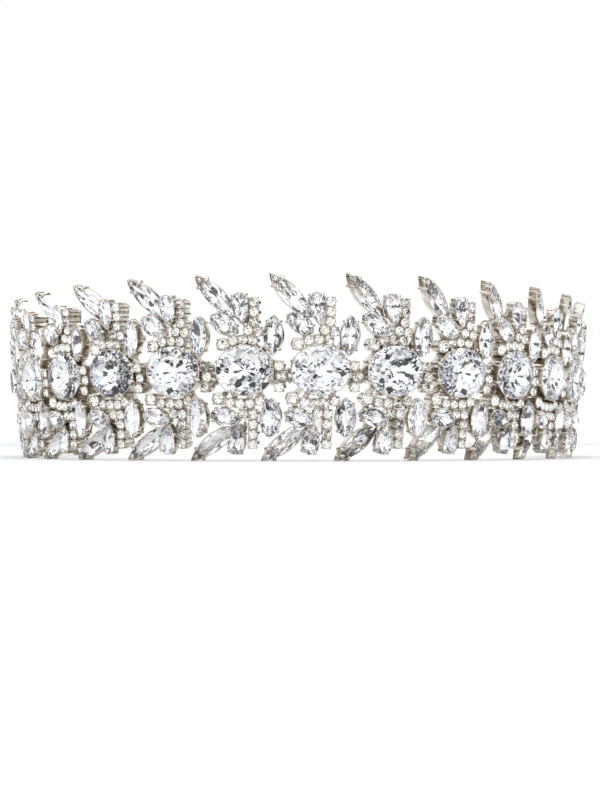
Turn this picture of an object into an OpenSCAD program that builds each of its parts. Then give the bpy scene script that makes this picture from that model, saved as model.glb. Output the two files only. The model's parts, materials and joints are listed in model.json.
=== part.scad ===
/* [Ring] */
// Radius of the front arc, at the back of the clusters
front_radius = 83; // [80:1:86]
// Turn of the front arc on each side, in degrees
front_turn = 43.5; // [40:0.5:46]
// Radius of the two side arcs
side_radius = 78; // [76:1:82]
// Turn of each side arc, in degrees
side_turn = 38.5; // [36:0.5:42]
// Radius of the two arcs that run to the open ends
end_radius = 121; // [110:1:140]
// Length along the ring from the front centre to the end of the wrapped wire
band_reach = 180; // [178:1:184]
// Length along the ring at which the wire starts to dip
dip_start = 158; // [156:1:162]
// Dip of the wire ends below the ring, in degrees
dip_angle = 18; // [10:1:20]

/* [Band] */
// Thickness of each of the two wrapped wires
wire_d = 1.7; // [1.4:0.1:1.8]
// Distance between the two wires
wire_gap = 2.3; // [2.2:0.1:2.6]
// Distance from the ring back to the middle of the wires
wire_depth = 2.25; // [2.25:0.05:2.6]
// Level of the wires below the middle of the main stones
wire_drop = 1.3; // [0.8:0.1:1.4]
// Outer width of an eye at the end of the band
eye_d = 5.8; // [5.6:0.1:6.4]
// Hole through an eye
eye_hole_d = 3.4; // [3:0.1:3.6]
// Thickness of the bare wire that makes an eye
eye_thick = 1.2; // [1:0.1:1.4]

/* [Clusters] */
// Number of clusters round the band
cluster_count = 18; // [12:2:18]
// Distance from one cluster to the next along the ring
cluster_pitch = 17.7; // [17.7:0.1:18.5]
// Outward lean of each cluster's top, in degrees
lean = 5.5; // [0:0.5:8]
// Height of the main stones above the surface
stone_height = 22.26; // [22.26:0.02:24]
// Length of the main oval stone
oval_l = 14.2; // [13.6:0.1:14.3]
// Width of the main oval stone
oval_w = 12.2; // [11.6:0.1:12.3]
// Wall of every stone cup
cup_wall = 0.4; // [0.35:0.05:0.45]
// Reach of every cup out past the edge of the stone that covers it
cup_reach = 0.1; // [0.08:0.01:0.12]
// Outward tilt of the long stones' tips, in degrees
tip_tilt = 12; // [10:0.5:13]

/* [Hidden] */
$fn = 48;
// Middle of the headpiece's box, which the whole model is moved back by
box_middle = [0, 64.84];
// Sideways place of a cluster's oval, from the middle of its pitch
cluster_shift = 0.6;

// Columns of a stone row: place across and up from the oval's middle, turn of its outer end, length, width
ACROSS = 0;
UP = 1;
TURN = 2;
LONG = 3;
WIDE = 4;
upper_long = [-7.4, 18.2, 134, 14.7, 4.4];
lower_long = [-8.6, -17.8, 218, 14.6, 4.3];
upper_navettes = [[-5, 11.2, 144, 7.8, 4.5], [7.1, 8.4, 87, 9.8, 4.6]];
lower_navettes = [[-5.1, -11.4, 166, 7.7, 4.4], [6.1, -11.5, -93, 9.8, 5]];
upper_pear = [-0.8, 14.9, 96, 7.7, 4.1];
lower_pear = [-2.2, -16.7, -101, 7.5, 4.1];

// Columns of a round stone's row: place across and up, width of the stone
ROUND_D = 2;
small_d = 2.3;
large_d = 3;
large_rounds = [[-5.5, 6.3, large_d], [-6.8, -6.9, large_d]];
small_rounds = [
    [-2.9, 7.3, small_d], [-0.45, 7.5, small_d], [2, 7.3, small_d],
    [0.9, 9.8, small_d], [3.3, 9.4, small_d],
    [2.3, 11.8, small_d], [2.4, 14.2, small_d], [2.4, 16.6, small_d],
    [-3.9, -7.8, small_d], [-1.45, -8, small_d], [1, -8, small_d], [3.5, -7.4, small_d],
    [-0.65, -10.5, small_d], [1.8, -10.6, small_d],
    [1.7, -13.05, small_d], [1.6, -15.5, small_d], [1.5, -17.95, small_d],
    [8.3, 1.1, small_d], [8.9, -1.5, small_d], [8.3, -4.1, small_d]
];

// Bars at the back of a setting, each from one place to another, with a wider boss at its end
bar_w = 1.4;
boss_d = 1.75;
hub = [0, 0];
bars = [
    [hub, [1.2, 9.8]], [[1.2, 9.8], [2.4, 16.6]], [[1.2, 9.8], [-0.8, 15.6]], [[1.2, 9.8], [3.3, 9.4]],
    [hub, [-5.5, 6.3]], [hub, [-5, 11.2]], [[-5, 11.2], [-4.4, 15]], [hub, [7.1, 8.4]],
    [hub, [0.6, -10.6]], [[0.6, -10.6], [1.5, -17.95]], [[0.6, -10.6], [-2.4, -17.4]],
    [hub, [-6.8, -6.9]], [[-6.8, -6.9], [-5.1, -11.4]], [[-5.1, -11.4], [-5, -14.9]],
    [hub, [-3.9, -7.8]], [[0, -3], [3.5, -7.4]], [hub, [6.1, -11.5]],
    [hub, [8.3, 1.1]], [hub, [8.9, -1.5]], [hub, [8.3, -4.1]]
];

// Heights of the setting's layers, outward from the ring
bar_low = -0.9;
bar_high = 0.3;
oval_cup_low = 0;
oval_cup_high = 3.5;
oval_floor = 0.9;
oval_girdle = 4;
raised_low = 1.9;
raised_high = 3.65;
raised_floor = 2.25;
raised_girdle = 4;
round_low = 0.05;
round_high = 3.3;
round_floor = 2.5;
round_girdle = 3.5;
long_low = -0.6;
long_cup_h = 2.05;
long_floor = 0.6;
long_girdle = 2.4;
stalk_d = 2;
// Wall of a round stone's cup
round_wall = 0.25;
// Reach of a pocket's cut past its cup's top, small on the long cups so that it spares the raised ones
pocket_over = 1;
long_over = 0.05;
// Radius of the oval's two end arcs, as a share of its half width
oval_end_ratio = 0.82;

// Cut of the stones: share of the outline left at the table, the upper break and the culet
table_ratio = 0.55;
break_ratio = 0.82;
break_height = 0.6;
culet_ratio = 0.12;
oval_crown = 2;
oval_edge = 0.25;
oval_pavilion = 2.6;
small_crown = 0.9;
small_pavilion = 1.5;
round_crown = 0.7;
round_pavilion = 0.9;
oval_sides = 16;
small_sides = 8;

// Lengths along the ring at which its arcs change
front_len = front_radius * front_turn * PI / 180;
side_len = side_radius * side_turn * PI / 180;
front_centre = [0, front_radius];
side_centre = front_centre + (front_radius - side_radius) * outward(front_turn);
end_centre = side_centre + (side_radius - end_radius) * outward(front_turn + side_turn);

// Turns of the level and the dipping stretch of each end arc
flat_sweep = turn_at(dip_start) - front_turn - side_turn;
dip_sweep = (band_reach - dip_start) / end_radius * 180 / PI;
// Width of a knot of binding wire, by how much it stands over the wires, and levels of the two wires
knot_over = 0.2;
knot_d = wire_d + knot_over;
wire_levels = [-wire_gap / 2, wire_gap / 2];
// Distance from the wires' ends to an eye's middle, length of its tails, and their gap to the wires
eye_reach = 3.6;
eye_tail = 1.5;
eye_gap = 0.1;

// Direction away from the head where the ring has turned by an angle
function outward(angle) = [sin(angle), -cos(angle)];

// Turn of the ring at a length along it, on the right side
function turn_at(s) =
    s < front_len ? s / front_radius * 180 / PI :
    s < front_len + side_len ? front_turn + (s - front_len) / side_radius * 180 / PI :
    front_turn + side_turn + (s - front_len - side_len) / end_radius * 180 / PI;

// Middle and radius of the arc at a length along the ring, on the right side
function arc_centre_at(s) =
    s < front_len ? front_centre :
    s < front_len + side_len ? side_centre : end_centre;
function arc_radius_at(s) =
    s < front_len ? front_radius :
    s < front_len + side_len ? side_radius : end_radius;

// Place of the ring at a length along it, on either side
function ring_right(s) = arc_centre_at(s) + arc_radius_at(s) * outward(turn_at(s));
function ring_place(s) = s < 0 ? [-ring_right(-s).x, ring_right(-s).y] : ring_right(s);
function ring_turn(s) = s < 0 ? -turn_at(-s) : turn_at(s);

// Length along the ring of a cluster's oval, the first at the left end
function cluster_s(i) = (i - (cluster_count + 1) / 2) * cluster_pitch + cluster_shift;

// Radius of each of the two arcs that bound a pointed outline
function side_arc(half_l, half_w) = (half_l * half_l + half_w * half_w) / (2 * half_w);

// Puts its children in the ring's own frame: X along the band, Y back towards the head, Z up
module on_ring(s) {
    translate([ring_place(s).x - box_middle.x, ring_place(s).y - box_middle.y, stone_height])
        rotate([0, 0, ring_turn(s)])
            children();
}

// Puts its children in a cluster's frame: X along the band, Y up, Z away from the head
module on_cluster(i) {
    on_ring(cluster_s(i)) rotate([90 + lean, 0, 0]) children();
}

// Puts its children at a stone's row
module at_row(row) {
    translate([row[ACROSS], row[UP]]) rotate([0, 0, row[TURN]]) children();
}

// Puts its children at a long stone's row, tilted so that its tip stands outward
module at_long(row) {
    translate([row[ACROSS], row[UP], long_low])
        rotate([0, 0, row[TURN]])
            rotate([0, -tip_tilt, 0])
                children();
}

// Outline of a stone pointed at both ends, grown by a border
module navette_outline(l, w, border) {
    r = side_arc(l / 2, w / 2);
    intersection() {
        translate([0, w / 2 - r]) circle(r = r + border);
        translate([0, r - w / 2]) circle(r = r + border);
        circle(r = l / 2 + border);
    }
}

// Outline of a pear stone, round at its outer end, grown by a border
module pear_outline(l, w, border) {
    tail = l - w / 2;
    r = side_arc(tail, w / 2);
    translate([l / 2 - w / 2, 0]) {
        circle(r = w / 2 + border);
        intersection() {
            translate([0, w / 2 - r]) circle(r = r + border);
            translate([0, r - w / 2]) circle(r = r + border);
            translate([-tail - border, -w]) square([tail + border, 2 * w]);
        }
    }
}

// Outline of the oval stone in four arcs, grown by a border
module oval_outline(border) {
    half_l = oval_l / 2;
    half_w = oval_w / 2;
    end_r = half_w * oval_end_ratio;
    side_r = (half_l * half_l + half_w * half_w - 2 * half_l * end_r) / (2 * (half_w - end_r));
    meet = (half_l - end_r) * (side_r + border) / (side_r - end_r);
    for (side = [-1, 1])
        translate([side * (half_l - end_r), 0]) circle(r = end_r + border);
    intersection() {
        translate([0, half_w - side_r]) circle(r = side_r + border);
        translate([0, side_r - half_w]) circle(r = side_r + border);
        translate([-meet, -oval_w]) square([2 * meet, 2 * oval_w]);
    }
}

// Outlines of the raised navettes and pears of one cluster, grown by a border
module raised_outlines(border) {
    for (row = concat(upper_navettes, lower_navettes))
        at_row(row) navette_outline(row[LONG], row[WIDE], border);
    for (row = [upper_pear, lower_pear])
        at_row(row) pear_outline(row[LONG], row[WIDE], border);
}

// Outlines of the round stones of one cluster, grown by a border
module round_outlines(border) {
    for (row = concat(large_rounds, small_rounds))
        translate([row[ACROSS], row[UP]]) circle(d = row[ROUND_D] + 2 * border);
}

// Bars that join the cups at the back
module back_bars() {
    for (bar = bars) {
        reach = bar[1] - bar[0];
        translate(bar[0])
            rotate([0, 0, atan2(reach.y, reach.x)])
                translate([0, -bar_w / 2])
                    square([norm(reach), bar_w]);
        translate(bar[1]) circle(d = boss_d);
    }
}

// A layer of a flat outline between two heights
module layer(low, high) {
    translate([0, 0, low]) linear_extrude(high - low) children();
}

// The soldered metal of one cluster, its pockets open to the front
module setting(i) {
    pocket = cup_reach - cup_wall;
    round_pocket = cup_reach - round_wall;
    raised = concat(upper_navettes, lower_navettes, [upper_pear, lower_pear]);
    color("gainsboro")
        on_cluster(i)
            difference() {
                union() {
                    layer(bar_low, bar_high) back_bars();
                    layer(oval_cup_low, oval_cup_high) oval_outline(cup_reach);
                    layer(raised_low, raised_high) raised_outlines(cup_reach);
                    layer(round_low, round_high) round_outlines(cup_reach);
                    for (row = raised)
                        layer(bar_low, raised_low + cup_wall)
                            translate([row[ACROSS], row[UP]]) circle(d = stalk_d);
                    for (row = [upper_long, lower_long])
                        at_long(row) layer(0, long_cup_h) navette_outline(row[LONG], row[WIDE], cup_reach);
                }
                layer(oval_floor, oval_cup_high + pocket_over) oval_outline(pocket);
                layer(raised_floor, raised_high + pocket_over) raised_outlines(pocket);
                layer(round_floor, round_high + pocket_over) round_outlines(round_pocket);
                for (row = [upper_long, lower_long])
                    at_long(row) layer(long_floor, long_cup_h + long_over)
                        navette_outline(row[LONG], row[WIDE], pocket);
            }
}

// Points round a navette, from its outer tip
function navette_points(l, w) =
    let (r = side_arc(l / 2, w / 2), half = asin(l / 2 / r), steps = small_sides / 2)
    concat(
        [for (k = [0:steps - 1]) let (t = half * (1 - 2 * k / steps)) [r * sin(t), r * cos(t) - r + w / 2]],
        [for (k = [0:steps - 1]) let (t = half * (2 * k / steps - 1)) [r * sin(t), r - w / 2 - r * cos(t)]]
    );

// Points round a pear: five on its round end, one on each side and its point
function pear_points(l, w) =
    let (tail = l - w / 2, r = side_arc(tail, w / 2), mid = l / 2 - w / 2, t = asin(tail / r) / 2)
    concat(
        [for (a = [-90:45:90]) [mid + w / 2 * cos(a), w / 2 * sin(a)]],
        [[mid - r * sin(t), r * cos(t) - r + w / 2], [-l / 2, 0], [mid - r * sin(t), r - w / 2 - r * cos(t)]]
    );

// Points round an ellipse
function oval_points(l, w, sides) =
    [for (k = [0:sides - 1]) let (a = (k + 0.5) * 360 / sides) [l / 2 * cos(a), w / 2 * sin(a)]];

// A cut stone from its outline, shrunk towards its middle at each height of the cut
module cut_stone(outline, middle, heights) {
    n = len(outline);
    last = len(heights) - 1;
    points = [for (h = heights) for (p = outline)
        [middle.x + h[0] * (p.x - middle.x), middle.y + h[0] * (p.y - middle.y), h[1]]];
    sides = [for (j = [0:last - 1]) for (k = [0:n - 1])
        [j * n + k, j * n + (k + 1) % n, (j + 1) * n + (k + 1) % n, (j + 1) * n + k]];
    table = [for (k = [n - 1:-1:0]) k];
    culet = [for (k = [0:n - 1]) last * n + k];
    polyhedron(points = points, faces = concat([table], sides, [culet]));
}

// Heights of a small stone's cut, each with the share of the outline left there
function small_cut(crown, pavilion) =
    [[table_ratio, crown], [break_ratio, break_height * crown], [1, 0], [culet_ratio, -pavilion]];

module oval_stone(i) {
    color("white")
        on_cluster(i)
            translate([0, 0, oval_girdle])
                cut_stone(oval_points(oval_l, oval_w, oval_sides), [0, 0],
                    [[table_ratio, oval_crown], [break_ratio, break_height * oval_crown], [1, 0],
                     [1, -oval_edge], [culet_ratio, -oval_pavilion]]);
}

module navette_stones(rows) {
    color("aliceblue")
        for (i = [1:cluster_count], row = rows)
            on_cluster(i) at_row(row) translate([0, 0, raised_girdle])
                cut_stone(navette_points(row[LONG], row[WIDE]), [0, 0],
                    small_cut(small_crown, small_pavilion));
}

module pear_stones(row) {
    color("ghostwhite")
        for (i = [1:cluster_count])
            on_cluster(i) at_row(row) translate([0, 0, raised_girdle])
                cut_stone(pear_points(row[LONG], row[WIDE]), [row[WIDE] / 4, 0],
                    small_cut(small_crown, small_pavilion));
}

module long_stones(row) {
    color("azure")
        for (i = [1:cluster_count])
            on_cluster(i) at_long(row) translate([0, 0, long_girdle])
                cut_stone(navette_points(row[LONG], row[WIDE]), [0, 0],
                    small_cut(small_crown, small_pavilion));
}

module round_stones() {
    color("lavender")
        for (i = [1:cluster_count], row = large_rounds)
            on_cluster(i) translate([row[ACROSS], row[UP], round_girdle])
                cut_stone(oval_points(row[ROUND_D], row[ROUND_D], small_sides), [0, 0],
                    small_cut(round_crown, round_pavilion));
}

// Puts its children at the level of the wire pair, on the ring as it is drawn
module at_band() {
    translate([-box_middle.x, -box_middle.y, stone_height - wire_drop]) children();
}

// A length of wrapped wire round part of an arc of the ring, one of the pair
module wire_arc(centre, radius, from, sweep) {
    translate(centre)
        rotate([0, 0, from - 90])
            rotate_extrude(angle = sweep)
                translate([radius - wire_depth, 0]) circle(d = wire_d);
}

// A knot of binding wire that holds the pair together
module wire_knot() {
    cylinder(d = knot_d, h = wire_gap, center = true);
    for (level = wire_levels)
        translate([0, 0, level]) sphere(d = knot_d);
}

// Puts a knot on an arc of the ring
module knot_at(centre, radius, turn) {
    translate(centre + (radius - wire_depth) * outward(turn)) wire_knot();
}

// Puts its children where the wire pair on the right starts to dip, X along it
module wire_end() {
    translate(ring_right(dip_start))
        rotate([0, 0, turn_at(dip_start)])
            rotate([0, dip_angle, 0]) children();
}

// The wire pair between the clusters and the head, with its ends turned down
module band() {
    color("silver")
        at_band() {
            for (level = wire_levels)
                translate([0, 0, level]) wire_arc(front_centre, front_radius, -front_turn, 2 * front_turn);
            for (side = [0, 1])
                mirror([side, 0, 0]) {
                    for (level = wire_levels)
                        translate([0, 0, level]) {
                            wire_arc(side_centre, side_radius, front_turn, side_turn);
                            wire_arc(end_centre, end_radius, front_turn + side_turn, flat_sweep);
                        }
                    knot_at(front_centre, front_radius, front_turn);
                    knot_at(side_centre, side_radius, front_turn + side_turn);
                    wire_end() {
                        for (level = wire_levels)
                            translate([0, 0, level]) wire_arc([0, end_radius], end_radius, 0, dip_sweep);
                        translate([0, wire_depth, 0]) wire_knot();
                    }
                }
        }
}

// One eye's bare wire, from the wrapped wires' ends towards +X
module eye_wire() {
    difference() {
        union() {
            translate([eye_reach, 0, 0]) rotate([90, 0, 0])
                cylinder(d = eye_d, h = eye_thick, center = true);
            for (level = wire_levels)
                translate([eye_gap, 0, level]) rotate([0, 90, 0])
                    cylinder(d = eye_thick, h = eye_tail);
        }
        translate([eye_reach, 0, 0]) rotate([90, 0, 0])
            cylinder(d = eye_hole_d, h = 2 * eye_thick, center = true);
    }
}

// The bare wire eye at the end of the wire pair on one side, its tails butting on the wrapped wires
module eye(side) {
    color("silver")
        at_band()
            mirror([side, 0, 0])
                wire_end()
                    translate([0, end_radius, 0])
                        rotate([0, 0, dip_sweep])
                            translate([0, wire_depth - end_radius, 0])
                                eye_wire();
}

band();
eye(1);  // left_eye
eye(0);  // right_eye
for (i = [1:cluster_count]) {
    setting(i);
    oval_stone(i);
}
long_stones(upper_long);  // upper_long_stones
long_stones(lower_long);  // lower_long_stones
navette_stones(upper_navettes);  // upper_navette_stones
navette_stones(lower_navettes);  // lower_navette_stones
pear_stones(upper_pear);  // upper_pear_stones
pear_stones(lower_pear);  // lower_pear_stones
round_stones();
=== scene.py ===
"""Dresses the crystal headpiece and sets it in a plain studio.

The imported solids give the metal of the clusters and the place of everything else. This script replaces the
plain stones by finely cut ones, the band by a pair of wires that is wrapped and bound with finer wire, and
the two eyes by rounder ones. It adds the claws, caps and lips that hold the stones, the finishes, the floor,
the light and the camera. Sizes in the fields are millimetres and turns are degrees, and MM turns millimetres
into Blender's metres.
"""

from __future__ import annotations

import contextlib
import json
import logging
import math
import random
from dataclasses import dataclass, field, replace
from enum import Enum
from typing import Callable, Iterator, NamedTuple, Sequence

import bmesh
import bpy
from mathutils import Matrix, Vector

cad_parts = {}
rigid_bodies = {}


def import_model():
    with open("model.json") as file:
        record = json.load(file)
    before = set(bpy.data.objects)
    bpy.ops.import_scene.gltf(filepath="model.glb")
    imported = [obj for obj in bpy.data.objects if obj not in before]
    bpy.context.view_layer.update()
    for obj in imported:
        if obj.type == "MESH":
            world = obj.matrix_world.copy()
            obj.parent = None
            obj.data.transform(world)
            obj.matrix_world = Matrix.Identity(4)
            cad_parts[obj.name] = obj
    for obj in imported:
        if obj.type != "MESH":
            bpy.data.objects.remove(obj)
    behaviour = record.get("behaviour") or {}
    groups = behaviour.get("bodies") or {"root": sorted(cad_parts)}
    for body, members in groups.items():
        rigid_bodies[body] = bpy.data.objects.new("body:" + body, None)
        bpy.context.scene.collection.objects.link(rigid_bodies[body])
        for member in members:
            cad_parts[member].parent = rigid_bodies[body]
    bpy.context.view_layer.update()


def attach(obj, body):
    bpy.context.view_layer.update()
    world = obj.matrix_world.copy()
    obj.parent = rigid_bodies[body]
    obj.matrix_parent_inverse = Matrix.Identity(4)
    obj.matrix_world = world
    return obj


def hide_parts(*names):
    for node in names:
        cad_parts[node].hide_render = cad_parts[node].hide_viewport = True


LOG = logging.getLogger("headpiece")
MM = 0.001
Colour = tuple[float, float, float]
Link = bpy.types.NodeSocket


class Bench:
    """The modelling bench: selects objects, faces and points, and runs Blender's tools on them."""

    CUT_LIMIT = 1e-7
    UPWARD = 0.9

    @staticmethod
    def take(*objects: bpy.types.Object) -> None:
        """Selects only some objects and makes the first one active.

        Args:
            objects: The objects.
        """
        bpy.ops.object.select_all(action="DESELECT")
        for item in objects:
            item.select_set(True)
        bpy.context.view_layer.objects.active = objects[0]

    @staticmethod
    @contextlib.contextmanager
    def edit(item: bpy.types.Object) -> Iterator[None]:
        """Opens an object in edit mode for the length of a with block.

        Args:
            item: The object.

        Yields:
            Nothing, while the object is open.
        """
        Bench.take(item)
        bpy.ops.object.mode_set(mode="EDIT")
        try:
            yield
        finally:
            bpy.ops.object.mode_set(mode="OBJECT")

    @staticmethod
    def pick_points(item: bpy.types.Object, wanted: Callable[[Vector], bool]) -> None:
        """Selects the points of the mesh in edit mode whose place passes a test.

        Args:
            item: The object in edit mode.
            wanted: Says whether a point at a place is selected.
        """
        bpy.ops.mesh.select_mode(type="VERT")
        mesh = bmesh.from_edit_mesh(item.data)
        for vertex in mesh.verts:
            vertex.select_set(wanted(vertex.co))
        mesh.select_flush_mode()
        bmesh.update_edit_mesh(item.data)

    @staticmethod
    def pick_top(item: bpy.types.Object) -> None:
        """Selects the faces of the mesh in edit mode that look up.

        Args:
            item: The object in edit mode.
        """
        bpy.ops.mesh.select_mode(type="FACE")
        mesh = bmesh.from_edit_mesh(item.data)
        for face in mesh.faces:
            face.select_set(face.normal.z > Bench.UPWARD)
        bmesh.update_edit_mesh(item.data)

    @staticmethod
    def shear_off(point: Sequence[float], normal: Sequence[float]) -> None:
        """Cuts the mesh in edit mode with a plane, drops the outer side and closes the cut.

        Args:
            point: A point of the plane, in metres.
            normal: The plane's outward normal.
        """
        bpy.ops.mesh.select_all(action="SELECT")
        bpy.ops.mesh.bisect(plane_co=point, plane_no=normal, use_fill=True, clear_outer=True,
                            threshold=Bench.CUT_LIMIT)

    @staticmethod
    def copy(item: bpy.types.Object, place: Matrix, name: str = "copy") -> bpy.types.Object:
        """Copies an object with its own mesh, and puts its place in the mesh.

        Args:
            item: The object that is copied.
            place: The transform from the object's frame to the copy's.
            name: The copy's name.

        Returns:
            The copy, at the origin.
        """
        twin = item.copy()
        twin.data = item.data.copy()
        twin.data.transform(place)
        twin.name = name
        bpy.context.scene.collection.objects.link(twin)
        return twin

    @staticmethod
    def join(name: str, items: Sequence[bpy.types.Object]) -> bpy.types.Object:
        """Joins objects into the first one, and names it and its mesh.

        Args:
            name: The name of the whole.
            items: The objects, one or more.

        Returns:
            The whole.
        """
        Bench.take(*items)
        if len(items) > 1:
            bpy.ops.object.join()
        items[0].name = name
        items[0].data.name = name
        return items[0]

    @staticmethod
    def discard(*items: bpy.types.Object) -> None:
        """Deletes models that have been copied."""
        for item in items:
            bpy.data.objects.remove(item)

    @staticmethod
    def smooth(item: bpy.types.Object, angle: float) -> None:
        """Shades an object smooth where its faces meet under an angle in degrees."""
        Bench.take(item)
        bpy.ops.object.shade_smooth_by_angle(angle=math.radians(angle))


class Reading:
    """A socket of a shader that takes part in Python expressions."""

    def __init__(self, shader: Shader, socket: Link) -> None:
        """Keeps the shader that the socket belongs to."""
        self.shader = shader
        self.socket = socket

    def _maths(self, operation: str, first: Reading | float, second: Reading | float = 0.0) -> Reading:
        """Adds a Math node."""
        values = {0: first, 1: second}
        return self.shader.add("ShaderNodeMath", {"operation": operation}, values).out()

    def __add__(self, other: Reading | float) -> Reading:
        """Adds."""
        return self._maths("ADD", self, other)

    def __radd__(self, other: float) -> Reading:
        """Adds from the left."""
        return self._maths("ADD", other, self)

    def __sub__(self, other: Reading | float) -> Reading:
        """Subtracts."""
        return self._maths("SUBTRACT", self, other)

    def __rsub__(self, other: float) -> Reading:
        """Subtracts this from another value."""
        return self._maths("SUBTRACT", other, self)

    def __mul__(self, other: Reading | float) -> Reading:
        """Multiplies."""
        return self._maths("MULTIPLY", self, other)

    def __rmul__(self, other: float) -> Reading:
        """Multiplies from the left."""
        return self._maths("MULTIPLY", other, self)

    def above(self, limit: float) -> Reading:
        """One where this is greater than a limit, and otherwise zero."""
        return self._maths("GREATER_THAN", self, limit)

    def sine(self) -> Reading:
        """Takes the sine."""
        return self._maths("SINE", self)

    def angle_from(self, other: Reading) -> Reading:
        """The angle whose tangent is this over another value."""
        return self._maths("ARCTAN2", self, other)


class Added:
    """A node that was added to a shader."""

    def __init__(self, shader: Shader, node: bpy.types.Node) -> None:
        """Keeps the node and its shader."""
        self.shader = shader
        self.node = node

    def out(self, key: int | str = 0) -> Reading:
        """The reading of one output."""
        return Reading(self.shader, self.node.outputs[key])


class Shader:
    """A node tree of a material or of the world, built by one method for every kind of node."""

    NEW_STOP = 0.5

    def __init__(self, owner: bpy.types.Material | bpy.types.World) -> None:
        """Empties the owner's node tree.

        Args:
            owner: The material or world whose nodes are built.
        """
        owner.use_nodes = True
        self.tree = owner.node_tree
        self.tree.nodes.clear()

    def add(self, kind: str, settings: dict[str, object] | None = None,
            values: dict[int | str, object] | None = None) -> Added:
        """Adds a node, sets its settings, and then fills or links its sockets.

        Args:
            kind: The node's type.
            settings: The node's own settings by name.
            values: Numbers, colours or readings by socket.

        Returns:
            The node with its outputs.
        """
        node = self.tree.nodes.new(kind)
        for name, setting in (settings or {}).items():
            setattr(node, name, setting)
        for key, value in (values or {}).items():
            if isinstance(value, Reading):
                self.tree.links.new(value.socket, node.inputs[key])
            else:
                node.inputs[key].default_value = value
        return Added(self, node)

    def ramp(self, factor: Reading, stops: Sequence[tuple[float, Colour]], blend: str = "LINEAR") -> Reading:
        """Turns a factor into a colour through a ramp.

        Args:
            factor: The ramp's factor.
            stops: Places along the ramp with their colours.
            blend: How the ramp passes from one colour to the next.

        Returns:
            The colour.
        """
        ramp = self.add("ShaderNodeValToRGB", None, {0: factor})
        ramp.node.color_ramp.interpolation = blend
        elements = ramp.node.color_ramp.elements
        while len(elements) < len(stops):
            elements.new(self.NEW_STOP)
        for element, (place, colour) in zip(elements, stops):
            element.position = place
            element.color = (*colour, 1.0)
        return ramp.out()

    def mix(self, factor: Reading | float, first: Reading | Colour, second: Reading | Colour) -> Reading:
        """Mixes two colours.

        Args:
            factor: The second colour's share.
            first: The first colour.
            second: The second colour.

        Returns:
            The mixed colour.
        """
        ends = [c if isinstance(c, Reading) else (*c, 1.0) for c in (first, second)]
        return self.add("ShaderNodeMix", {"data_type": "RGBA"}, {0: factor, 6: ends[0], 7: ends[1]}).out(2)

    def noise(self, size: float, detail: float = 2.0) -> Reading:
        """Even noise on the piece's own coordinates.

        Args:
            size: The size of the noise's patches in millimetres.
            detail: How much finer noise is on top.

        Returns:
            The noise, from 0 to 1.
        """
        place = self.add("ShaderNodeTexCoord").out("Object")
        return self.add("ShaderNodeTexNoise", None,
                        {"Vector": place, "Scale": 1 / (size * MM), "Detail": detail}).out()

    def bump(self, height: Reading, strength: float, depth: float) -> Reading:
        """A normal that is disturbed by a height.

        Args:
            height: The height, from 0 to 1.
            strength: The bump's strength.
            depth: The depth of the relief in millimetres.

        Returns:
            The normal.
        """
        return self.add("ShaderNodeBump", None,
                        {"Strength": strength, "Distance": depth * MM, "Height": height}).out()

    def surface(self, values: dict[int | str, object]) -> None:
        """Ends a material with one Principled surface."""
        skin = self.add("ShaderNodeBsdfPrincipled", None, values)
        self.add("ShaderNodeOutputMaterial", None, {"Surface": skin.out()})


@dataclass(frozen=True)
class Silver:
    """Rhodium-plated metal, polished, with the small waves of a casting."""

    name: str
    bright: Colour
    warm: Colour
    roughness: float
    wave_size: float
    wave_depth: float

    PATCH_SIZE = 2.5
    WARM_STOP = 0.42
    BRIGHT_STOP = 0.66
    PATCH_ROUGHNESS = 0.08
    WAVE_DETAIL = 0.5
    WAVE_STRENGTH = 0.6

    def material(self) -> bpy.types.Material:
        """Builds the metal's material.

        Returns:
            The material.
        """
        made = bpy.data.materials.new(self.name)
        shader = Shader(made)
        patches = shader.noise(self.wave_size * self.PATCH_SIZE)
        colour = shader.ramp(patches, [(self.WARM_STOP, self.warm), (self.BRIGHT_STOP, self.bright)])
        waves = shader.noise(self.wave_size, self.WAVE_DETAIL)
        shader.surface({
            "Base Color": colour,
            "Metallic": 1.0,
            "Roughness": self.roughness + patches * self.PATCH_ROUGHNESS,
            "Normal": shader.bump(waves, self.WAVE_STRENGTH, self.wave_depth),
        })
        return made


@dataclass(frozen=True)
class Crystal:
    """The clear crown of a cut stone."""

    name: str
    clear: Colour
    tint: Colour
    ior: float

    CLOUD_SIZE = 3.0

    def material(self) -> bpy.types.Material:
        """Builds the clear material.

        Returns:
            The material.
        """
        made = bpy.data.materials.new(self.name)
        shader = Shader(made)
        cloud = shader.noise(self.CLOUD_SIZE)
        colour = shader.mix(cloud, self.clear, self.tint)
        shader.surface({
            "Base Color": colour,
            "Transmission Weight": 1.0,
            "IOR": self.ior,
            "Roughness": 0.0,
            "Specular IOR Level": 0.5,
        })
        return made


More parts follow.
